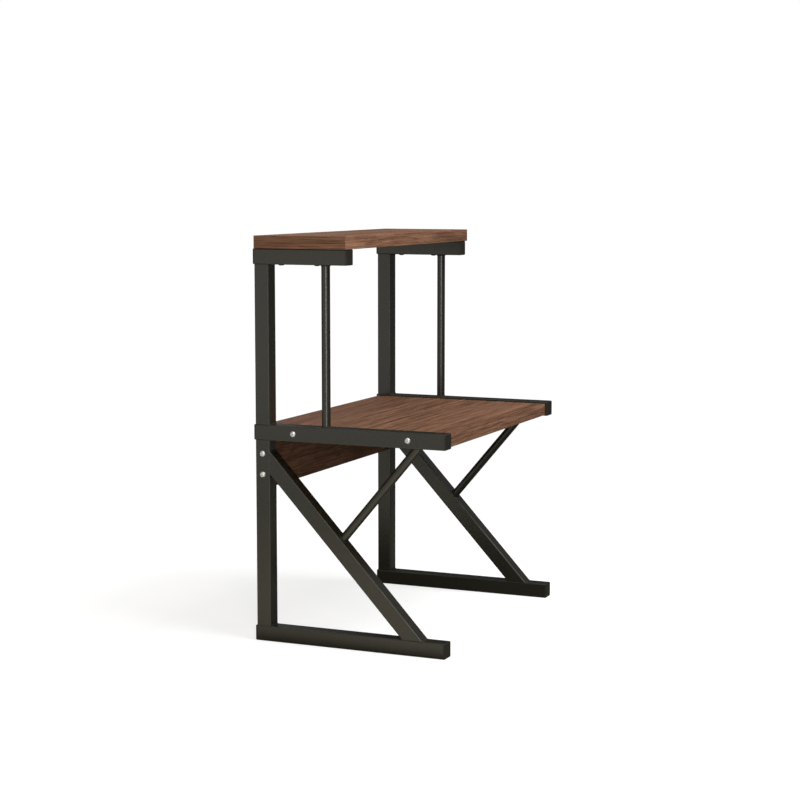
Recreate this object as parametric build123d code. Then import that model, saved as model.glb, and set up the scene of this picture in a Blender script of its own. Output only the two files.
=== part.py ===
"""Two-tier kitchen rack: two welded square-tube side frames, a full-depth
middle board, a half-depth top board and a narrow rear board under the middle
one, bolted together.  Millimetres.

Frame: origin on the floor under the middle of the rack, +Z up, the open front
faces -Y, +X is to the right as seen from the front.
"""
import math
import os

from build123d import *

os.makedirs("parts", exist_ok=True)

# ---------------------------------------------------------------- dimensions
# square tube of the side frames
tube = 27.0              # outside width and height
tube_wall = 1.2
tube_round = 2.0         # outside corner radius
# round tube of the front rods and the struts
rod_d = 15.0
rod_wall = 1.2

frame_width = 543.0      # over the outer faces of the two side frames
tube_length = 350.0      # base and middle rails, cut length
cap_flange = 3.0         # visible thickness of a plastic end cap
cap_round = 2.0          # rounding of the cap's visible rim
plug_depth = 12.0        # how far a cap's plug reaches into the tube

z_mid = 352.5            # underside of the middle rail
z_board = 354.0          # underside of the middle board, between the rails
z_top = 654.5            # underside of the top rail
top_rail_length = 171.0  # half-depth top rail, cut length

board = 22.0             # thickness of the two shelf boards
band = 1.0               # thickness of the glued edge strips
top_over = 5.5           # top board past the frame's outer face, each side
top_front = -0.5         # front edge of the top board
top_rear = 173.0         # rear edge of the top board
mid_front_back = 2.0     # middle board's front edge behind the tube's cut end

back_board_t = 15.0      # rear board thickness
back_board_h = 85.0      # rear board height, up to the middle board

diag_angle = 47.13       # diagonal brace above the floor, degrees
diag_foot = -136.1       # where the brace's upper face meets the base rail
strut_foot = 14.3        # strut centre on the brace's upper face
strut_head = -123.7      # strut centre under the middle rail
rod_y = 46.0             # front rod centre

bolt_d = 6.0             # M6 button head bolts, hexagon socket
bolt_head_d = 10.5
bolt_head_h = 3.3
socket_af = 4.0
socket_depth = 2.0
bolt_length = 50.0
low_head_h = 1.9         # low head of the top board's screws
top_screw_length = 40.0
bolt_hole = 6.5
shelf_bolt_y = (-110.0, 103.0)
back_bolt_z = (293.0, 329.0)
top_screw_y = (62.0, 129.5)
nut_d = 10.0             # barrel nuts of the boards
nut_inset = 45.0         # barrel nut centre behind the outer face
shelf_nut_l = 14.0
back_nut_l = 11.0
insert_d = 9.0           # threaded inserts of the top board
insert_l = 13.0
weld = 2.2               # leg of a weld bead

# derived
half_w = frame_width / 2
y_front = -tube_length / 2          # cut end of the base and middle rails
y_rear = tube_length / 2
y_up = y_rear - tube / 2            # centre of the uprights
y_up_front = y_rear - tube          # front face of the uprights
z_mid_top = z_mid + tube
z_top_top = z_top + tube
x_in = half_w - tube                # inner face of a side frame
x_c = half_w - tube / 2             # centre plane of a side frame
bolt_z = z_mid + tube / 2
SIDES = (("left", -1), ("right", 1))


# ------------------------------------------------------------------ helpers
def group(*shapes):
    """Several separate solids in one node."""
    solids = []
    for s in shapes:
        solids += list(s.solids())
    return solids[0] if len(solids) == 1 else Compound(children=solids)


def block(x0, x1, y0, y1, z0, z1):
    return Pos((x0 + x1) / 2, (y0 + y1) / 2, (z0 + z1) / 2) * Box(
        abs(x1 - x0), abs(y1 - y0), abs(z1 - z0))


def square_profile():
    return RectangleRounded(tube, tube, tube_round) - RectangleRounded(
        tube - 2 * tube_wall, tube - 2 * tube_wall, tube_round - tube_wall)


def tube_along_y(x, z, y0, y1):
    return Pos(0, y1, 0) * (Plane(origin=(x, 0, z), x_dir=(1, 0, 0), z_dir=(0, -1, 0))
                            * extrude(square_profile(), y1 - y0))


def tube_along_z(x, y, z0, z1):
    return Pos(x, y, z0) * extrude(square_profile(), z1 - z0)


def cyl(x, y, z, axis, r, length):
    """Cylinder from (x, y, z) along a direction."""
    return Plane(origin=(x, y, z), z_dir=axis) * Cylinder(
        r, length, align=(Align.CENTER, Align.CENTER, Align.MIN))


def end_cap(x, z, y, outward):
    """Plastic plug for a square tube: rounded flange outside, plug inside."""
    flange = extrude(RectangleRounded(tube, tube, tube_round), cap_flange)
    rim = flange.edges().group_by(Axis.Z)[-1]
    flange = fillet(rim, cap_round - 0.05)
    inner = tube - 2 * tube_wall - 0.1
    plug = Pos(0, 0, -plug_depth) * extrude(
        RectangleRounded(inner, inner, 0.75)
        - RectangleRounded(inner - 3.2, inner - 3.2, 0.4), plug_depth)
    cap = flange + plug
    return Plane(origin=(x, y, z), x_dir=(1, 0, 0), z_dir=(0, outward, 0)) * cap


def button_bolt(x, y, z, axis, length, head=bolt_head_h, socket=socket_depth):
    """Button head, hexagon socket; (x, y, z) is under the head."""
    r = bolt_head_d / 2
    k = head / bolt_head_h
    with BuildPart() as b:
        with BuildSketch(Plane.XZ):
            with BuildLine():
                Polyline((0, 0), (r, 0), (r, 0.5 * k))
                ThreePointArc((r, 0.5 * k), (r - 0.75, 2.05 * k), (2.9, head))
                Polyline((2.9, head), (0, head), (0, 0))
            make_face()
        revolve(axis=Axis.Z)
        with BuildSketch(Plane.XY.offset(head)):
            RegularPolygon(radius=socket_af / math.sqrt(3), side_count=6)
        extrude(amount=-socket, mode=Mode.SUBTRACT)
    shank_r = bolt_d / 2 - 0.05
    shank = Pos(0, 0, -length) * Cylinder(
        shank_r, length, align=(Align.CENTER, Align.CENTER, Align.MIN))
    shank = chamfer(shank.edges().group_by(Axis.Z)[0], 0.8)
    # the head looks against the direction in which the shank runs
    away = Vector(*axis) * -1
    return Plane(origin=(x, y, z), z_dir=away) * (b.part + shank)


def barrel_nut(centre, axis, length, cross):
    """Cylinder nut with its thread across it."""
    c = Vector(*centre)
    a = Vector(*axis)
    body = Plane(origin=c - a * (length / 2), z_dir=a) * Cylinder(
        nut_d / 2 - 0.05, length, align=(Align.CENTER, Align.CENTER, Align.MIN))
    hole = Plane(origin=c - Vector(*cross) * nut_d, z_dir=cross) * Cylinder(
        bolt_d / 2, 2 * nut_d, align=(Align.CENTER, Align.CENTER, Align.MIN))
    slot = Plane(origin=c - a * (length / 2), z_dir=a) * Box(1.2, nut_d, 1.6)
    return body - hole - slot


def bead(side, apex_y, apex_z, a_deg, b_deg):
    """Weld bead in the corner between two faces that leave the apex in the
    directions a and b of the Y-Z plane; it runs across the tube's width."""
    ax, az = math.cos(math.radians(a_deg)), math.sin(math.radians(a_deg))
    bx, bz = math.cos(math.radians(b_deg)), math.sin(math.radians(b_deg))
    p0 = (apex_y, apex_z)
    p1 = (apex_y + weld * ax, apex_z + weld * az)
    p2 = (apex_y + weld * bx, apex_z + weld * bz)
    mx, mz = (p1[0] + p2[0]) / 2, (p1[1] + p2[1]) / 2
    d = math.hypot(mx - apex_y, mz - apex_z)
    bulge = 0.35
    m = (mx + (mx - apex_y) / d * bulge, mz + (mz - apex_z) / d * bulge)
    w = tube - 2 * tube_round
    with BuildPart() as b:
        with BuildSketch(Plane.YZ.offset(side * x_c - w / 2)):
            with BuildLine():
                Line(p1, p0)
                Line(p0, p2)
                ThreePointArc(p2, m, p1)
            make_face()
        extrude(amount=w)
    return b.part


def ring_bead(x, y, z, up):
    """Weld bead round the foot of an upright round tube."""
    r = rod_d / 2
    with BuildPart() as b:
        with BuildSketch(Plane.XZ):
            with BuildLine():
                Line((r, 0), (r + weld, 0))
                ThreePointArc((r + weld, 0), (r + weld * 0.62, weld * 0.62), (r, weld))
                Line((r, weld), (r, 0))
            make_face()
        revolve(axis=Axis.Z)
    return Plane(origin=(x, y, z), z_dir=(0, 0, up)) * b.part


# ----------------------------------------------------- brace and strut lines
t_d = math.radians(diag_angle)
diag_dir = Vector(0, math.cos(t_d), math.sin(t_d))
diag_up = Vector(0, -math.sin(t_d), math.cos(t_d))      # out of its upper face
z_foot_plane = tube                                     # base rail's top face
diag_top_z = z_foot_plane + (y_up_front - diag_foot) * math.tan(t_d)
strut_foot_z = z_foot_plane + (strut_foot - diag_foot) * math.tan(t_d)
strut_a = Vector(0, strut_foot, strut_foot_z)
strut_b = Vector(0, strut_head, z_mid)
strut_dir = (strut_b - strut_a).normalized()


def diagonal_brace(side):
    """Square tube from the base rail up to the upright, mitred at both ends."""
    start = Vector(side * x_c, diag_foot, z_foot_plane) - diag_up * (tube / 2) - diag_dir * 60
    length = (y_up_front - diag_foot) / math.cos(t_d) + 140
    body = Plane(origin=start, x_dir=(1, 0, 0), z_dir=diag_dir) * extrude(square_profile(), length)
    keep = block(side * x_c - tube, side * x_c + tube, -400, y_up_front, z_foot_plane, 600)
    return body & keep


def strut_cylinder(side, r, over=40):
    length = (strut_b - strut_a).length + 2 * over
    o = Vector(side * x_c, 0, 0) + strut_a - strut_dir * over
    return Plane(origin=o, z_dir=strut_dir) * Cylinder(
        r, length, align=(Align.CENTER, Align.CENTER, Align.MIN))


def between_brace_and_rail(side):
    """The space above the brace's upper face and below the middle rail."""
    big = 500
    o = Vector(side * x_c, strut_foot, strut_foot_z)
    above = Plane(origin=o, x_dir=(1, 0, 0), z_dir=diag_up) * Box(
        2 * tube, big, big, align=(Align.CENTER, Align.CENTER, Align.MIN))
    below = block(side * x_c - tube, side * x_c + tube, -400, 400, -100, z_mid)
    return above & below


def strut_rod(side):
    body = strut_cylinder(side, rod_d / 2) - strut_cylinder(side, rod_d / 2 - rod_wall, 60)
    return body & between_brace_and_rail(side)


def strut_beads(side):
    """Beads where the strut stands on the brace and under the rail."""
    ring = strut_cylinder(side, rod_d / 2 + weld * 0.75) - strut_cylinder(side, rod_d / 2, 60)
    room = between_brace_and_rail(side)
    o = Vector(side * x_c, strut_foot, strut_foot_z)
    low = Plane(origin=o, x_dir=(1, 0, 0), z_dir=diag_up) * Box(
        2 * tube, 200, weld * 0.8, align=(Align.CENTER, Align.CENTER, Align.MIN))
    high = block(side * x_c - tube, side * x_c + tube, -400, 400, z_mid - weld * 0.8, z_mid)
    flat = block(side * x_c - tube / 2 + tube_round, side * x_c + tube / 2 - tube_round,
                 -400, 400, -100, 600)
    return [ring & room & low & flat, ring & room & high & flat]


# ----------------------------------------------------------- the side frames
nodes = {}
for name, s in SIDES:
    x = s * x_c
    out = s * half_w
    # base rail, closed by a cap at each end
    nodes[f"{name}_base_rail"] = tube_along_y(x, tube / 2, y_front, y_rear)
    # middle rail with the bores of the two shelf bolts
    rail = tube_along_y(x, z_mid + tube / 2, y_front, y_rear)
    for y in shelf_bolt_y:
        rail -= cyl(out + s * 5, y, bolt_z, (-s, 0, 0), bolt_hole / 2, tube + 10)
    nodes[f"{name}_mid_rail"] = rail
    # half-depth top rail with two vertical bores
    rail = tube_along_y(x, z_top + tube / 2, y_rear - top_rail_length, y_rear)
    for y in top_screw_y:
        rail -= cyl(x, y, z_top - 5, (0, 0, 1), bolt_hole / 2, tube + 10)
    nodes[f"{name}_top_rail"] = rail
    # uprights at the rear
    post = tube_along_z(x, y_up, tube, z_mid)
    for z in back_bolt_z:
        post -= cyl(out + s * 5, y_up, z, (-s, 0, 0), bolt_hole / 2, tube + 10)
    nodes[f"{name}_lower_upright"] = post
    nodes[f"{name}_upper_upright"] = tube_along_z(x, y_up, z_mid_top, z_top)
    # braces
    nodes[f"{name}_diagonal_brace"] = diagonal_brace(s)
    nodes[f"{name}_strut"] = strut_rod(s)
    rod = cyl(x, rod_y, z_mid_top, (0, 0, 1), rod_d / 2, z_top - z_mid_top)
    rod -= cyl(x, rod_y, z_mid_top - 1, (0, 0, 1), rod_d / 2 - rod_wall, z_top - z_mid_top + 2)
    nodes[f"{name}_front_rod"] = rod
    # weld beads of the frame
    a = diag_angle
    low_y = diag_foot + tube / math.sin(t_d)          # lower face on the base rail
    low_z = diag_top_z - tube / math.cos(t_d)         # lower face on the upright
    beads = [
        bead(s, y_up_front, tube, 90, 180),           # lower upright on base rail
        bead(s, y_up_front, z_mid, 180, 270),         # lower upright under middle rail
        bead(s, y_up_front, z_mid_top, 90, 180),      # upper upright on middle rail
        bead(s, y_up_front, z_top, 180, 270),         # upper upright under top rail
        bead(s, diag_foot, tube, a, 180),             # brace on base rail, front
        bead(s, low_y, tube, 0, a),                   # brace on base rail, rear
        bead(s, y_up_front, diag_top_z, 90, 180 + a),     # brace on upright, above
        bead(s, y_up_front, low_z, 180 + a, 270),     # brace on upright, below
        ring_bead(x, rod_y, z_mid_top, 1),
        ring_bead(x, rod_y, z_top, -1),
    ]
    nodes[f"{name}_weld_beads"] = group(*beads, *strut_beads(s))
    # plastic end caps
    for level, zc, yf in (("base", tube / 2, y_front), ("mid", z_mid + tube / 2, y_front),
                          ("top", z_top + tube / 2, y_rear - top_rail_length)):
        nodes[f"{name}_{level}_front_cap"] = end_cap(x, zc, yf, -1)
        nodes[f"{name}_{level}_rear_cap"] = end_cap(x, zc, y_rear, 1)

# ----------------------------------------------------------------- top board
tx = half_w + top_over
core = block(-tx + band, tx - band, top_front + band, top_rear - band, z_top_top, z_top_top + board)
for _, s in SIDES:
    for y in top_screw_y:
        core -= cyl(s * x_c, y, z_top_top - 1, (0, 0, 1), insert_d / 2, insert_l + 3)
nodes["top_board"] = core
zt0, zt1 = z_top_top, z_top_top + board
nodes["top_board_edge_strips"] = group(
    block(-tx, tx, top_front, top_front + band, zt0, zt1),
    block(-tx, tx, top_rear - band, top_rear, zt0, zt1),
    block(-tx, -tx + band, top_front + band, top_rear - band, zt0, zt1),
    block(tx - band, tx, top_front + band, top_rear - band, zt0, zt1))

# -------------------------------------------------------------- middle board
y0, y1 = y_front + mid_front_back, y_rear
core = block(-x_in, x_in, y0 + band, y1 - band, z_board, z_board + board)
nut_top = bolt_z + shelf_nut_l / 2
for _, s in SIDES:
    for y in shelf_bolt_y:
        core -= cyl(s * (x_in + 1), y, bolt_z, (-s, 0, 0), bolt_hole / 2, 28 + 1)
        core -= cyl(s * (half_w - nut_inset), y, z_board - 1, (0, 0, 1), nut_d / 2,
                    nut_top - z_board + 1)
nodes["mid_board"] = core
nodes["mid_board_edge_strips"] = group(
    block(-x_in, x_in, y0, y0 + band, z_board, z_board + board),
    block(-x_in, x_in, y1 - band, y1, z_board, z_board + board))

# ---------------------------------------------------------------- rear board
yb0, yb1 = y_up - back_board_t / 2, y_up + back_board_t / 2
zb0 = z_board - back_board_h
core = block(-x_in, x_in, yb0, yb1, zb0 + band, z_board)
nut_front = y_up - back_nut_l / 2
for _, s in SIDES:
    for z in back_bolt_z:
        core -= cyl(s * (x_in + 1), y_up, z, (-s, 0, 0), bolt_hole / 2, 28 + 1)
        core -= cyl(s * (half_w - nut_inset), yb1 + 1, z, (0, -1, 0), nut_d / 2,
                    yb1 + 1 - nut_front)
nodes["back_board"] = core
nodes["back_board_edge_strip"] = block(-x_in, x_in, yb0, yb1, zb0, zb0 + band)

# ----------------------------------------------------------------- fasteners
for name, s in SIDES:
    out = s * half_w
    nodes[f"{name}_shelf_bolts"] = group(*[
        button_bolt(out, y, bolt_z, (-s, 0, 0), bolt_length) for y in shelf_bolt_y])
    nodes[f"{name}_back_board_bolts"] = group(*[
        button_bolt(out, y_up, z, (-s, 0, 0), bolt_length) for z in back_bolt_z])
    nodes[f"{name}_top_board_screws"] = group(*[
        button_bolt(s * x_c, y, z_top, (0, 0, 1), top_screw_length - 1, low_head_h, 1.2) for y in top_screw_y])

nodes["mid_board_barrel_nuts"] = group(*[
    barrel_nut((s * (half_w - nut_inset), y, bolt_z), (0, 0, 1), shelf_nut_l, (s, 0, 0))
    for _, s in SIDES for y in shelf_bolt_y])
nodes["back_board_barrel_nuts"] = group(*[
    barrel_nut((s * (half_w - nut_inset), y_up, z), (0, -1, 0), back_nut_l, (s, 0, 0))
    for _, s in SIDES for z in back_bolt_z])
inserts = []
for _, s in SIDES:
    for y in top_screw_y:
        sleeve = cyl(s * x_c, y, z_top_top, (0, 0, 1), insert_d / 2 - 0.05, insert_l)
        inserts.append(sleeve - cyl(s * x_c, y, z_top_top - 1, (0, 0, 1), bolt_d / 2, insert_l + 2))
nodes["top_board_threaded_inserts"] = group(*inserts)

# --------------------------------------------------------------------- write
for node, shape in nodes.items():
    export_step(shape, f"parts/{node}.step")
print(len(nodes), "nodes; brace top", round(diag_top_z, 2), "strut foot z", round(strut_foot_z, 2))
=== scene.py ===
"""Looks of the two-tier kitchen rack: powder-coated steel side frames with
rippled weld beads, moulded end caps, walnut-look boards with glued edge strips
and zinc-plated fasteners, on a pale studio floor.  Metres, row frame.
"""

import math

import bmesh
import bpy
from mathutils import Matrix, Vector, noise


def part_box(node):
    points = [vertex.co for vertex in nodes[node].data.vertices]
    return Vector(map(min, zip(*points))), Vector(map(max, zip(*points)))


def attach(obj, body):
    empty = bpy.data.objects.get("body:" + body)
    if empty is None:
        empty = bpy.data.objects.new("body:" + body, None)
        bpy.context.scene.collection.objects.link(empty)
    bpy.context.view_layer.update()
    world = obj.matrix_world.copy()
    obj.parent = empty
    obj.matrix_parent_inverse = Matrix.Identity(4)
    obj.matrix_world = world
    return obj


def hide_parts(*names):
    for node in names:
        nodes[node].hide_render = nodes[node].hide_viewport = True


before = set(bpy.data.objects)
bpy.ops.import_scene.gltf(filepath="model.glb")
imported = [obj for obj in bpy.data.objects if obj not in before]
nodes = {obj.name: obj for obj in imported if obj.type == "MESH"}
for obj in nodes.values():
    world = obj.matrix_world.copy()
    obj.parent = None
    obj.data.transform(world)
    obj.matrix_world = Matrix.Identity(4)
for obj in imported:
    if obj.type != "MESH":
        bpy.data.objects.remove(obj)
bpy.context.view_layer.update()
scene = bpy.context.scene
MM = 0.001


# ------------------------------------------------------------- node helpers
class Tree:
    """A small helper to write node trees line by line."""

    def __init__(self, name):
        self.mat = bpy.data.materials.new(name)
        self.mat.use_nodes = True
        self.nt = self.mat.node_tree
        self.nt.nodes.clear()
        self.out = self.nt.nodes.new("ShaderNodeOutputMaterial")

    def node(self, kind, **props):
        n = self.nt.nodes.new(kind)
        for k, v in props.items():
            setattr(n, k, v)
        return n

    def put(self, socket, value):
        if isinstance(value, bpy.types.NodeSocket):
            self.nt.links.new(value, socket)
        elif value is not None:
            socket.default_value = value

    def math(self, op, a, b=None, c=None, clamp=False):
        n = self.node("ShaderNodeMath", operation=op, use_clamp=clamp)
        for i, v in enumerate((a, b, c)):
            if v is not None:
                self.put(n.inputs[i], v)
        return n.outputs[0]

    def coords(self):
        return self.node("ShaderNodeTexCoord").outputs["Object"]

    def split(self, vector):
        n = self.node("ShaderNodeSeparateXYZ")
        self.put(n.inputs[0], vector)
        return n.outputs[0], n.outputs[1], n.outputs[2]

    def join(self, x, y, z):
        n = self.node("ShaderNodeCombineXYZ")
        for i, v in enumerate((x, y, z)):
            self.put(n.inputs[i], v)
        return n.outputs[0]

    def noise(self, vector, scale, detail=2.0, rough=0.5, distortion=0.0):
        n = self.node("ShaderNodeTexNoise")
        self.put(n.inputs["Vector"], vector)
        n.inputs["Scale"].default_value = scale
        n.inputs["Detail"].default_value = detail
        n.inputs["Roughness"].default_value = rough
        n.inputs["Distortion"].default_value = distortion
        return n.outputs["Fac"]

    def stretch(self, vector, x, y, z):
        n = self.node("ShaderNodeVectorMath", operation="MULTIPLY")
        self.put(n.inputs[0], vector)
        n.inputs[1].default_value = (x, y, z)
        return n.outputs[0]

    def shift(self, vector, x, y, z):
        n = self.node("ShaderNodeVectorMath", operation="ADD")
        self.put(n.inputs[0], vector)
        n.inputs[1].default_value = (x, y, z)
        return n.outputs[0]

    def ramp(self, fac, stops, mode="LINEAR"):
        n = self.node("ShaderNodeValToRGB")
        n.color_ramp.interpolation = mode
        els = n.color_ramp.elements
        while len(els) < len(stops):
            els.new(0.5)
        for e, (at, colour) in zip(els, stops):
            e.position = at
            e.color = (*colour, 1.0) if len(colour) == 3 else colour
        self.put(n.inputs[0], fac)
        return n.outputs["Color"]

    def span(self, value, a0, a1, b0, b1, smooth=False):
        n = self.node("ShaderNodeMapRange")
        n.interpolation_type = "SMOOTHSTEP" if smooth else "LINEAR"
        n.clamp = True
        self.put(n.inputs["Value"], value)
        for key, v in (("From Min", a0), ("From Max", a1), ("To Min", b0), ("To Max", b1)):
            n.inputs[key].default_value = v
        return n.outputs["Result"]

    def mix(self, fac, a, b, blend="MIX"):
        n = self.node("ShaderNodeMix", data_type="RGBA", blend_type=blend)
        self.put(n.inputs[0], fac)
        for i, v in ((6, a), (7, b)):
            self.put(n.inputs[i], (*v, 1.0) if isinstance(v, tuple) and len(v) == 3 else v)
        return n.outputs[2]

    def scale(self, colour, fac):
        """colour times a grey value"""
        n = self.node("ShaderNodeVectorMath", operation="SCALE")
        self.put(n.inputs[0], colour)
        self.put(n.inputs["Scale"], fac)
        return n.outputs[0]

    def bump(self, height, distance, strength=1.0, normal=None):
        n = self.node("ShaderNodeBump")
        n.inputs["Strength"].default_value = strength
        n.inputs["Distance"].default_value = distance
        self.put(n.inputs["Height"], height)
        if normal is not None:
            self.put(n.inputs["Normal"], normal)
        return n.outputs["Normal"]

    def surface(self, colour, rough, normal=None, metallic=0.0, ior=1.5, spec=0.5,
                coat=0.0, coat_rough=0.1):
        n = self.node("ShaderNodeBsdfPrincipled")
        self.put(n.inputs["Base Color"], colour)
        self.put(n.inputs["Roughness"], rough)
        self.put(n.inputs["Metallic"], metallic)
        n.inputs["IOR"].default_value = ior
        n.inputs["Specular IOR Level"].default_value = spec
        n.inputs["Coat Weight"].default_value = coat
        n.inputs["Coat Roughness"].default_value = coat_rough
        if normal is not None:
            self.put(n.inputs["Normal"], normal)
        self.nt.links.new(n.outputs[0], self.out.inputs["Surface"])
        return self.mat


# ---------------------------------------------------------------- materials
def powder_coat(name="powder_coat", tone=1.0, gloss=0.25, sheen=0.5, square=True):
    """Baked powder paint: near black with an olive cast, slight orange peel.
    On square tube the corners are duller (rougher) and carry a painted highlight, their colour mixed a little
    towards a lighter grey."""
    t = Tree(name)
    p = t.coords()
    cloud = t.noise(p, 9.0, 3.0, 0.55)
    fine = t.noise(p, 60.0, 0.0, 0.5)
    value = t.math("ADD", t.span(cloud, 0.3, 0.7, 0.92, 1.08),
                   t.span(fine, 0.3, 0.7, -0.025, 0.025))
    colour = t.scale(t.node_rgb((0.0100 * tone, 0.0090 * tone, 0.0050 * tone)), value)
    rough = t.math("ADD", t.span(cloud, 0.3, 0.7, gloss - 0.015, gloss + 0.015),
                   t.span(fine, 0.3, 0.7, -0.005, 0.005))
    if square:
        # corners: the face normal of the rounded edges lies between two axes
        geo = t.node("ShaderNodeNewGeometry")
        nx, ny, nz = t.split(geo.outputs["Normal"])
        off_x = t.math("SUBTRACT", 1.0, t.math("ABSOLUTE", nx))
        corner = t.math("MULTIPLY", t.span(off_x, 0.02, 0.2, 0.0, 1.0),
                        t.span(t.math("ABSOLUTE", nx), 0.05, 0.35, 0.0, 1.0))
        corner_glint_and_dulling = t.math("MULTIPLY", corner, t.span(t.noise(p, 24.0, 1.0, 0.5), 0.35, 0.65, 0.6, 1.0))
        # painted highlight: the rounded corners are mixed up to 12% towards a lighter grey; the added roughness
        # below dulls them
        colour = t.mix(t.math("MULTIPLY", corner_glint_and_dulling, 0.12), colour, (0.035, 0.032, 0.026))
        rough = t.math("ADD", rough, t.math("MULTIPLY", corner_glint_and_dulling, 0.42))
    peel = t.noise(p, 120.0, 0.0, 0.5)
    normal = t.bump(peel, 0.00004, 0.20)
    return t.surface(colour, rough, normal, ior=1.5, spec=sheen)


def rgb(self, colour):
    n = self.node("ShaderNodeCombineXYZ")
    for i in range(3):
        n.inputs[i].default_value = colour[i]
    return n.outputs[0]


Tree.node_rgb = rgb


def cap_plastic(name="cap_plastic"):
    """Moulded black polyethylene with a fine eroded texture."""
    t = Tree(name)
    p = t.coords()
    cloud = t.noise(p, 40.0, 3.0, 0.5)
    grit = t.noise(p, 520.0, 2.0, 0.55)
    base = t.scale(t.node_rgb((0.0100, 0.0088, 0.0058)), t.span(cloud, 0.3, 0.7, 0.85, 1.15))
    rough = t.math("ADD", t.span(cloud, 0.3, 0.7, 0.46, 0.52), t.span(grit, 0.3, 0.7, -0.02, 0.02))
    return t.surface(base, rough, t.bump(grit, 0.00003, 0.35), ior=1.49, spec=0.30)


def zinc(name="zinc_plate", tone=(0.64, 0.625, 0.595)):
    """Bright zinc plate, slightly cloudy, with fine turning marks."""
    t = Tree(name)
    p = t.coords()
    cloud = t.noise(p, 260.0, 3.0, 0.6)
    marks = t.noise(t.stretch(p, 400.0, 4200.0, 4200.0), 1.0, 1.0, 0.5)
    tint = t.mix(t.span(t.noise(p, 140.0, 2.0, 0.5), 0.35, 0.65, 0.0, 1.0),
                 tone, tuple(1.1 * c for c in tone))
    colour = t.scale(tint, t.span(cloud, 0.3, 0.7, 0.90, 1.04))
    rough = t.math("ADD", t.span(cloud, 0.3, 0.7, 0.44, 0.54), t.span(marks, 0.3, 0.7, -0.03, 0.03))
    return t.surface(colour, rough, t.bump(marks, 0.00002, 0.4), metallic=1.0)


def black_zinc(name="black_zinc"):
    """Black passivated zinc: dark, faintly brown, with fine turning marks."""
    t = Tree(name)
    p = t.coords()
    cloud = t.noise(p, 260.0, 3.0, 0.6)
    marks = t.noise(t.stretch(p, 400.0, 4200.0, 4200.0), 1.0, 1.0, 0.5)
    colour = t.scale(t.node_rgb((0.030, 0.028, 0.025)), t.span(cloud, 0.3, 0.7, 0.75, 1.25))
    rough = t.math("ADD", t.span(cloud, 0.3, 0.7, 0.30, 0.42), t.span(marks, 0.3, 0.7, -0.03, 0.03))
    return t.surface(colour, rough, t.bump(marks, 0.00002, 0.4), metallic=0.35, ior=1.5, spec=0.5)


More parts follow.
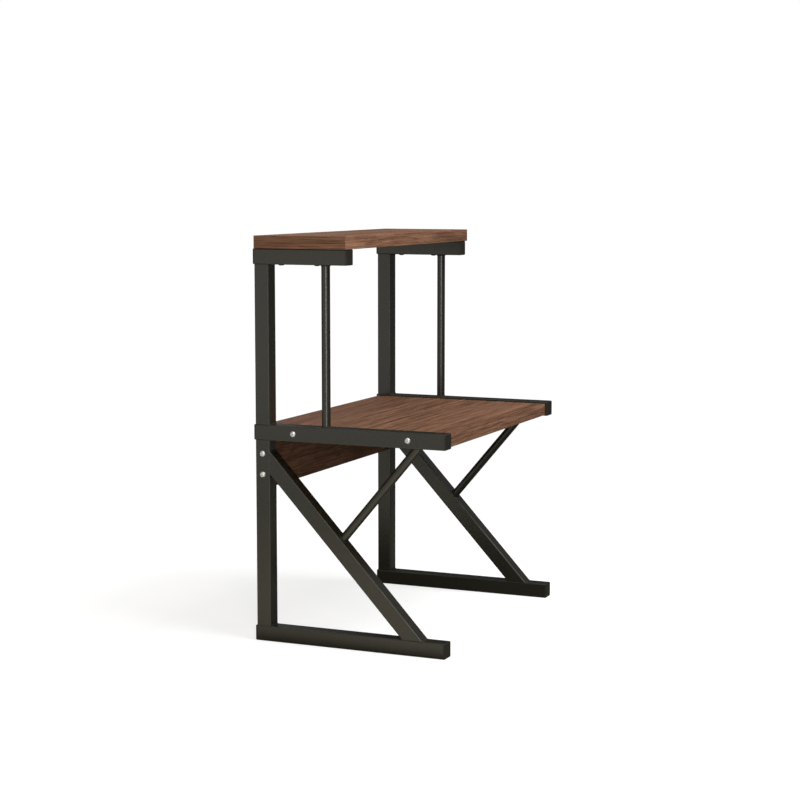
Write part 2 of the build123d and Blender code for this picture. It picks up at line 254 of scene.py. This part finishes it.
def walnut(name, centre, tilt, along="X", tone=1.0, figure=1.0, contrast=1.0, spec=0.11):
    """Printed walnut laminate: growth rings round a leaning trunk axis, fibre
    streaks, pores.  centre is a point of that axis, tilt its slopes."""
    t = Tree(name)
    x, y, z = t.split(t.coords())
    u, v = (x, y) if along == "X" else (y, x)
    g = t.join(u, v, z)
    # slow wander of the grain
    bend = t.noise(t.stretch(g, 1.8, 6.0, 6.0), 1.0, 2.0, 0.5)
    bend2 = t.noise(t.stretch(t.shift(g, 3.1, 1.7, 5.3), 6.0, 22.0, 22.0), 1.0, 2.0, 0.55)
    wander = t.math("ADD", t.span(bend, 0.2, 0.8, -0.020 * figure, 0.020 * figure),
                    t.span(bend2, 0.2, 0.8, -0.0018, 0.0018))
    vw = t.math("ADD", v, wander)
    flow = t.join(u, vw, z)
    # distance from the trunk axis, and the dark late wood of each ring
    vv = t.math("SUBTRACT", vw, t.math("MULTIPLY_ADD", u, tilt[0], centre[0]))
    ww = t.math("SUBTRACT", z, t.math("MULTIPLY_ADD", u, tilt[1], centre[1]))
    r = t.math("SQRT", t.math("ADD", t.math("MULTIPLY", vv, vv), t.math("MULTIPLY", ww, ww)))
    ring = t.math("FRACT", t.math("MULTIPLY", r, 74.0))
    late = t.math("MULTIPLY", t.math("POWER", ring, 2.0),
                  t.span(t.math("SUBTRACT", 1.0, ring), 0.0, 0.14, 0.0, 1.0, True))
    # wide bands, streaks, fibres, and pores that run in short dark dashes
    band = t.noise(t.stretch(flow, 1.1, 20.0, 20.0), 1.0, 3.0, 0.55)
    wide = t.noise(t.stretch(flow, 2.6, 120.0, 120.0), 1.0, 3.0, 0.60)
    streak = t.noise(t.stretch(t.shift(flow, 7.7, 3.3, 1.9), 6.0, 400.0, 400.0), 1.0, 3.0, 0.70)
    fibre = t.noise(t.stretch(flow, 16.0, 800.0, 800.0), 1.0, 2.0, 0.6)
    pore_n = t.noise(t.stretch(t.shift(flow, 1.3, 2.9, 0.7), 20.0, 620.0, 620.0), 1.0, 2.0, 0.55)
    crowd = t.noise(t.stretch(t.shift(flow, 4.3, 0.9, 2.7), 4.0, 60.0, 60.0), 1.0, 2.0, 0.5)
    pore = t.span(t.math("ADD", pore_n, t.span(crowd, 0.3, 0.7, -0.05, 0.05)), 0.55, 0.66, 0.0, 1.0, True)
    k = contrast
    value = t.span(band, 0.30, 0.70, -0.15, 0.15)
    value = t.math("ADD", value, t.span(wide, 0.25, 0.75, -0.19 * k, 0.19 * k))
    value = t.math("ADD", value, t.span(streak, 0.27, 0.73, -0.38 * k, 0.38 * k))
    value = t.math("ADD", value, t.span(fibre, 0.25, 0.75, -0.14 * k, 0.14 * k))
    value = t.math("SUBTRACT", value, t.math("MULTIPLY", late, 0.34 * figure))
    value = t.math("ADD", value, 0.56 + 0.05 * figure, clamp=True)
    colour = t.ramp(value, [
        (0.00, (0.052 * tone, 0.0232 * tone, 0.0125 * tone)),
        (0.30, (0.102 * tone, 0.0468 * tone, 0.0258 * tone)),
        (0.60, (0.162 * tone, 0.0775 * tone, 0.0440 * tone)),
        (1.00, (0.250 * tone, 0.1285 * tone, 0.0780 * tone)),
    ])
    colour = t.mix(t.math("MULTIPLY", pore, 0.50), colour, (0.040 * tone, 0.0185 * tone, 0.0110 * tone))
    rough = t.math("ADD", t.span(streak, 0.3, 0.7, 0.50, 0.60), t.math("MULTIPLY", pore, 0.14))
    height = t.math("SUBTRACT", t.span(fibre, 0.25, 0.75, 0.0, 0.4), pore)
    return t.surface(colour, rough, t.bump(height, 0.00006, 0.5), ior=1.46, spec=spec)


COAT = powder_coat()
COAT_ROUND = powder_coat("powder_coat_round", gloss=0.29, square=False)
COAT_WELD = powder_coat("powder_coat_weld", 0.95, gloss=0.42, sheen=0.25)
CAP = cap_plastic()
ZINC = zinc("zinc_plate", (0.58, 0.582, 0.590))
ZINC_NUT = zinc("zinc_nut", (0.62, 0.61, 0.58))
BLACK_ZINC = black_zinc()
WOOD = {
    "top": dict(centre=(0.20, 0.62), tilt=(0.06, -0.10)),
    "mid": dict(centre=(-0.05, 0.27), tilt=(0.05, 0.16)),
    "back": dict(centre=(0.09, 0.31), tilt=(0.20, 0.05)),
}
W_TOP = walnut("walnut_top", **WOOD["top"], figure=0.35, contrast=1.45)
# painted shade: the side strips are the top board's walnut at 0.70 tone, darker as the less lit sides
TOP_SIDE_WALNUT_SHADED = walnut("walnut_top_side_shaded", (0.15, 0.60), (0.02, 0.03), along="Y", tone=0.70, figure=0.25, contrast=1.3)
# painted shade: the middle board is the same walnut at 0.93 tone, a little darker as if shaded by what stands on
# the shelf
MID_WALNUT_SHADED = walnut("shaded_mid_walnut", **WOOD["mid"], tone=0.93, figure=0.4, contrast=1.45)
# painted shade: the back board is the same walnut at 0.61 tone, dark as if in the shade under the middle board
BACK_WALNUT_SHADED = walnut("walnut_back_shaded", **WOOD["back"], tone=0.61, figure=0.6, contrast=1.3)
# the glued strips are a little glossier than the faces
W_TOP_EDGE = walnut("walnut_top_edge", **WOOD["top"], tone=0.97, figure=0.35, contrast=1.45, spec=0.26)
# painted shade: its strips take the same 0.93 tone as the middle board
MID_EDGE_WALNUT_SHADED = walnut("shaded_mid_walnut_edge", **WOOD["mid"], tone=0.93, figure=0.4, contrast=1.45, spec=0.26)

for name, obj in nodes.items():
    if name.endswith("_cap"):
        m = CAP
    elif "screws" in name:
        m = BLACK_ZINC
    elif "bolts" in name:
        m = ZINC
    elif "nuts" in name or "inserts" in name:
        m = ZINC_NUT
    elif name.startswith("top_board"):
        m = W_TOP
    elif name.startswith("mid_board"):
        m = MID_WALNUT_SHADED
    elif name.startswith("back_board"):
        m = BACK_WALNUT_SHADED
    elif name.endswith("_rod") or name.endswith("_strut"):
        m = COAT_ROUND
    else:
        m = COAT
    obj.data.materials.clear()
    obj.data.materials.append(m)


# ------------------------------------------------------------ mesh helpers
def finish_mesh(name, bm, mat, smooth_angle=40.0):
    bmesh.ops.recalc_face_normals(bm, faces=bm.faces)
    me = bpy.data.meshes.new(name)
    bm.to_mesh(me)
    bm.free()
    me.materials.append(mat)
    for p in me.polygons:
        p.use_smooth = True
    me.set_sharp_from_angle(angle=math.radians(smooth_angle))
    ob = bpy.data.objects.new(name, me)
    scene.collection.objects.link(ob)
    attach(ob, "root")
    return ob


def rounded_strip(bm, lo, hi, picks, width, segments=4):
    """A box with the picked edges rounded; picks says, for the middle and the
    direction of an edge, whether it is rounded."""
    made = bmesh.ops.create_cube(bm, size=1.0)
    verts = made["verts"]
    for v in verts:
        v.co = Vector([lo[i] + (v.co[i] + 0.5) * (hi[i] - lo[i]) for i in range(3)])
    edges = [e for e in bm.edges if e.verts[0] in verts and e.verts[1] in verts
             and picks((e.verts[0].co + e.verts[1].co) / 2, (e.verts[1].co - e.verts[0].co).normalized())]
    bmesh.ops.bevel(bm, geom=edges, offset=width, offset_type="OFFSET", segments=segments,
                    profile=0.5, affect="EDGES", clamp_overlap=True)


# ------------------------------------------------------------ edge strips
BAND = 1.0 * MM
EDGE_R = 0.85 * MM          # rounding of a trimmed edge strip


def board_strips(name, node, sides, mat_along, mat_across=None):
    """Glued edge strips with trimmed, rounded outer edges.  sides are the faces
    of the board that carry one."""
    lo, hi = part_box(node)
    made = []
    for side in sides:
        axis, sign = {"front": (1, -1), "rear": (1, 1), "left": (0, -1), "right": (0, 1), "down": (2, -1)}[side]
        a, b = list(lo), list(hi)
        if sign < 0:
            b[axis] = a[axis] + BAND
        else:
            a[axis] = b[axis] - BAND
        if side in ("left", "right"):
            a[1] += BAND
            b[1] -= BAND
        outer = a[axis] if sign < 0 else b[axis]
        full = side in ("front", "rear") and mat_across is not None

        def picks(mid, d, axis=axis, outer=outer, full=full):
            if abs(mid[axis] - outer) > 1e-6:
                return False
            long_axis = 0 if axis != 0 else 1
            return abs(d[long_axis]) > 0.9 or (full and abs(d[2]) > 0.9)

        bm = bmesh.new()
        rounded_strip(bm, a, b, picks, EDGE_R, 5)
        ob = finish_mesh(f"{name}_{side}", bm, mat_across if side in ("left", "right") else mat_along, 35)
        made.append(ob)
    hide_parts(node)
    return made


board_strips("top_strip", "top_board_edge_strips", ("front", "rear", "left", "right"), W_TOP_EDGE, TOP_SIDE_WALNUT_SHADED)
board_strips("mid_strip", "mid_board_edge_strips", ("front", "rear"), MID_EDGE_WALNUT_SHADED)
board_strips("back_strip", "back_board_edge_strip", ("down",), BACK_WALNUT_SHADED)

# -------------------------------------------------------------- weld beads
TUBE, ROUND, WELD, ROD = 27 * MM, 2 * MM, 2.2 * MM, 7.5 * MM
rail_lo, rail_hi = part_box("left_mid_rail")
Z_MID, Z_MID_TOP = rail_lo.z, rail_hi.z
Z_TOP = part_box("left_top_rail")[0].z
Y_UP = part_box("left_upper_upright")[0].y
ROD_LO, ROD_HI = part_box("left_front_rod")
ROD_Y = (ROD_LO.y + ROD_HI.y) / 2
X_C = (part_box("right_mid_rail")[0].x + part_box("right_mid_rail")[1].x) / 2
ANGLE = math.radians(47.13)
FOOT_Y = -136.1 * MM
HEAD_Z = TUBE + (Y_UP - FOOT_Y) * math.tan(ANGLE)
STRUT_Y, STRUT_TOP_Y = 14.3 * MM, -123.7 * MM
STRUT_Z = TUBE + (STRUT_Y - FOOT_Y) * math.tan(ANGLE)


def bead_profile(leg_a, leg_b, swell, count=9):
    """Points of a bead's face from one leg to the other, as parts of the legs,
    with the middle pushed out by swell."""
    pts = []
    for i in range(count):
        s = i / (count - 1)
        out = math.sin(math.pi * s) * swell
        pts.append((leg_a * (1 - s) + out, leg_b * s + out))
    return pts


def sweep_bead(bm, stations, closed):
    """stations: (root point, direction a, direction b, leg, swell) along a bead."""
    rings = []
    sink = 0.25 * MM
    for root, a, b, leg, swell in stations:
        base = root - (a + b) * sink
        ring = [bm.verts.new(base)]
        ring.append(bm.verts.new(root + a * leg - b * sink))
        for pa, pb in bead_profile(leg, leg, swell):
            ring.append(bm.verts.new(root + a * pa + b * pb))
        ring.append(bm.verts.new(root + b * leg - a * sink))
        rings.append(ring)
    n = len(rings[0])
    pairs = list(zip(rings, rings[1:])) + ([(rings[-1], rings[0])] if closed else [])
    for r0, r1 in pairs:
        for i in range(n):
            bm.faces.new((r0[i], r0[(i + 1) % n], r1[(i + 1) % n], r1[i]))
    if not closed:
        bm.faces.new(list(reversed(rings[0])))
        bm.faces.new(rings[-1])


def ripple(s, seed, pitch=1.35 * MM):
    """Height of the solidified ripples at a length s along a bead, about -1 to 1."""
    wob = noise.noise(Vector((s * 180, seed * 7.3, 0.0)))
    ph = (s / pitch + 0.35 * wob) % 1.0
    return (1.0 - ph ** 1.7) * 2 - 1 + 0.35 * noise.noise(Vector((s * 420, seed * 3.1, 4.0)))


def straight_bead(bm, side, y, z, a_deg, b_deg, seed):
    a = Vector((0, math.cos(math.radians(a_deg)), math.sin(math.radians(a_deg))))
    b = Vector((0, math.cos(math.radians(b_deg)), math.sin(math.radians(b_deg))))
    w = TUBE - 2 * ROUND
    count = 132
    st = []
    for i in range(count + 1):
        s = i / count
        end = min(s, 1 - s) * w
        taper = min(1.0, 0.45 + 0.55 * math.sin(min(end / (1.6 * MM), 1.0) * math.pi / 2))
        k = ripple(s * w, seed)
        leg = WELD * taper * (0.94 + 0.045 * k + 0.06 * noise.noise(Vector((s * 5, seed, 1.0))))
        swell = (0.20 + 0.055 * k) * MM * taper
        st.append((Vector((side * X_C - w / 2 + s * w, y, z)), a, b, leg, swell))
    sweep_bead(bm, st, False)


def ring_bead(bm, centre, axis, floor_normal, seed):
    """Bead round a rod whose axis leaves a flat face at centre."""
    axis, n = axis.normalized(), floor_normal.normalized()
    ref = Vector((1, 0, 0))
    other = axis.cross(ref).normalized()
    count = 300
    st = []
    length = 2 * math.pi * ROD
    for i in range(count):
        phi = 2 * math.pi * i / count
        radial = ref * math.cos(phi) + other * math.sin(phi)
        p = centre + radial * ROD
        p = p - axis * ((p - centre).dot(n) / axis.dot(n))
        # outwards in the flat face, and up along the rod
        flat = (radial - n * radial.dot(n)).normalized()
        k = ripple(i / count * length, seed)
        # the ripples close on themselves over the last few degrees
        k *= min(1.0, min(i, count - i) / 8.0)
        leg = WELD * 0.86 * (0.94 + 0.05 * k)
        swell = (0.14 + 0.05 * k) * MM
        st.append((p, flat, axis, leg, swell))
    sweep_bead(bm, st, True)


for side_name, side in (("left", -1), ("right", 1)):
    bm = bmesh.new()
    a = math.degrees(ANGLE)
    low_y = FOOT_Y + TUBE / math.sin(ANGLE)
    low_z = HEAD_Z - TUBE / math.cos(ANGLE)
    lines = [
        (Y_UP, TUBE, 90, 180), (Y_UP, Z_MID, 180, 270), (Y_UP, Z_MID_TOP, 90, 180),
        (Y_UP, Z_TOP, 180, 270), (FOOT_Y, TUBE, a, 180), (low_y, TUBE, 0, a),
        (Y_UP, HEAD_Z, 90, 180 + a), (Y_UP, low_z, 180 + a, 270),
    ]
    for i, (y, z, d0, d1) in enumerate(lines):
        straight_bead(bm, side, y, z, d0, d1, 3.7 * i + (20 if side > 0 else 0))
    x = side * X_C
    up = Vector((0, 0, 1))
    ring_bead(bm, Vector((x, ROD_Y, Z_MID_TOP)), up, up, 41 + side)
    ring_bead(bm, Vector((x, ROD_Y, Z_TOP)), -up, -up, 47 + side)
    foot = Vector((x, STRUT_Y, STRUT_Z))
    head = Vector((x, STRUT_TOP_Y, Z_MID))
    along = (head - foot).normalized()
    ring_bead(bm, foot, along, Vector((0, -math.sin(ANGLE), math.cos(ANGLE))), 53 + side)
    ring_bead(bm, head, -along, -up, 59 + side)
    beads = finish_mesh(f"{side_name}_rippled_beads", bm, COAT_WELD, 60)
    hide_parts(f"{side_name}_weld_beads")

# ------------------------------------------------------------------- stage
def studio_floor():
    bm = bmesh.new()
    bmesh.ops.create_circle(bm, cap_ends=True, segments=96, radius=40.0)
    me = bpy.data.meshes.new("studio_floor")
    bm.to_mesh(me)
    bm.free()
    t = Tree("pale_floor")
    p = t.coords()
    x, y, z = t.split(p)
    dist = t.math("SQRT", t.math("ADD", t.math("MULTIPLY", x, x), t.math("MULTIPLY", y, y)))
    soft = t.noise(p, 30.0, 4.0, 0.6)
    bsdf = t.node("ShaderNodeBsdfPrincipled")
    path = t.node("ShaderNodeLightPath").outputs["Is Camera Ray"]
    # reflectance: 0.88 left of the rack like a bounce card; elsewhere 0.38 to the camera and 0.14 to other rays
    card = t.math("MAXIMUM", t.span(x, -0.36, -0.27, 0.88, 0.14, True), t.math("MULTIPLY", path, 0.38))
    pale = t.math("ADD", t.span(soft, 0.3, 0.7, -0.01, 0.01), card)
    warm = t.math("SUBTRACT", 1.0, path)
    t.put(bsdf.inputs["Base Color"], t.join(
        pale, t.math("MULTIPLY", pale, t.math("SUBTRACT", 1.0, t.math("MULTIPLY", warm, 0.05))),
        t.math("MULTIPLY", pale, t.math("SUBTRACT", 1.0, t.math("MULTIPLY", warm, 0.22)))))
    bsdf.inputs["Roughness"].default_value = 0.9
    bsdf.inputs["Specular IOR Level"].default_value = 0.1
    # painted light: for camera rays only the floor also glows, so it reads white and its shadow stays faint
    lit = t.node("ShaderNodeEmission")
    t.put(lit.inputs["Strength"], t.math("MULTIPLY", path, 0.70))
    near = t.node("ShaderNodeAddShader")
    t.nt.links.new(bsdf.outputs[0], near.inputs[0])
    t.nt.links.new(lit.outputs[0], near.inputs[1])
    # further out the floor turns into a glow: white to the camera, and for other rays brighter on the left than
    # the right, lighting the rack
    far = t.node("ShaderNodeEmission")
    side = t.span(x, -3.0, 0.5, 0.72, 0.10, True)
    t.put(far.inputs["Strength"], t.math("MAXIMUM", side, t.math("MULTIPLY", path, 1.02)))
    blend = t.node("ShaderNodeMixShader")
    t.put(blend.inputs[0], t.span(dist, 0.7, 2.4, 0.0, 1.0, True))
    t.nt.links.new(near.outputs[0], blend.inputs[1])
    t.nt.links.new(far.outputs[0], blend.inputs[2])
    t.nt.links.new(blend.outputs[0], t.out.inputs["Surface"])
    me.materials.append(t.mat)
    ob = bpy.data.objects.new("studio_floor", me)
    ob.location.z = -0.0002
    scene.collection.objects.link(ob)


studio_floor()


def softbox(name, at, look, w, h, radiance, colour=(1, 1, 1)):
    d = bpy.data.lights.new(name, "AREA")
    d.shape = "RECTANGLE"
    d.size, d.size_y = w, h
    d.energy = radiance * math.pi * w * h
    d.color = colour
    ob = bpy.data.objects.new(name, d)
    ob.location = at
    ob.rotation_euler = (Vector(look) - Vector(at)).to_track_quat("-Z", "Y").to_euler()
    ob.visible_camera = False
    scene.collection.objects.link(ob)
    return ob


softbox("key_panel", (-0.02, -1.74, 2.6), (0, 0, 0.4), 2.2, 1.5, 9.9)
softbox("top_panel", (-0.1, 0.0, 3.0), (0, 0, 0.4), 2.0, 2.0, 1.0)
softbox("camera_side_panel", (-2.36, -1.18, 0.65), (0, 0, 0.42), 0.32, 1.2, 18.0)
softbox("left_rear_panel", (-2.3, 1.05, 0.9), (0, 0, 0.45), 1.35, 1.8, 0.45, (1.0, 0.93, 0.76))
softbox("rear_right_panel", (1.9, 1.9, 1.7), (0, 0, 0.4), 1.4, 1.4, 0.8)

world = bpy.data.worlds.new("studio")
scene.world = world
world.use_nodes = True
wt = Tree.__new__(Tree)
wt.nt = world.node_tree
wt.nt.nodes.clear()
wo = wt.node("ShaderNodeOutputWorld")
dx, dy, dz = wt.split(wt.node("ShaderNodeTexCoord").outputs["Generated"])
# soft white room: brighter on the left and above, dim on the right
room = wt.math("ADD", wt.span(dx, -1.0, 0.1, 0.42, 0.012, True), wt.span(dz, 0.05, 0.9, 0.006, 0.30, True))
# a pale patch low on the front right
patch = wt.math("MULTIPLY", wt.span(dy, 0.1, -0.5, 0.0, 0.10, True), wt.span(dx, -0.2, 0.4, 0.0, 1.0, True))
room = wt.math("ADD", room, patch)
tint = wt.mix(wt.span(dx, -1.0, 0.2, 1.0, 0.0, True), (1.0, 1.0, 1.0), (1.0, 0.935, 0.79))
fill = wt.node("ShaderNodeBackground")
wt.put(fill.inputs["Color"], tint)
wt.put(fill.inputs["Strength"], room)
white = wt.node("ShaderNodeBackground")
white.inputs["Color"].default_value = (1, 1, 1, 1)
white.inputs["Strength"].default_value = 1.02
pick = wt.node("ShaderNodeMixShader")
wt.put(pick.inputs[0], wt.node("ShaderNodeLightPath").outputs["Is Camera Ray"])
wt.nt.links.new(fill.outputs[0], pick.inputs[1])
wt.nt.links.new(white.outputs[0], pick.inputs[2])
wt.nt.links.new(pick.outputs[0], wo.inputs["Surface"])

scene.view_settings.view_transform = "Standard"
scene.view_settings.look = "None"
scene.view_settings.exposure = 0.0
scene.view_settings.gamma = 1.0

# ------------------------------------------------------------------ camera
cam = bpy.data.cameras.new("camera")
cam.sensor_fit = "HORIZONTAL"
cam.sensor_width = 36.0
cam.lens = 84.43
cam.clip_end = 200.0
cam_ob = bpy.data.objects.new("camera", cam)
cam_ob.location = (-3.1133, -1.32665, 0.789)
cam_ob.rotation_euler = Vector((0.9117, 0.3947, -0.11395)).to_track_quat("-Z", "Y").to_euler()
scene.collection.objects.link(cam_ob)
scene.camera = cam_ob
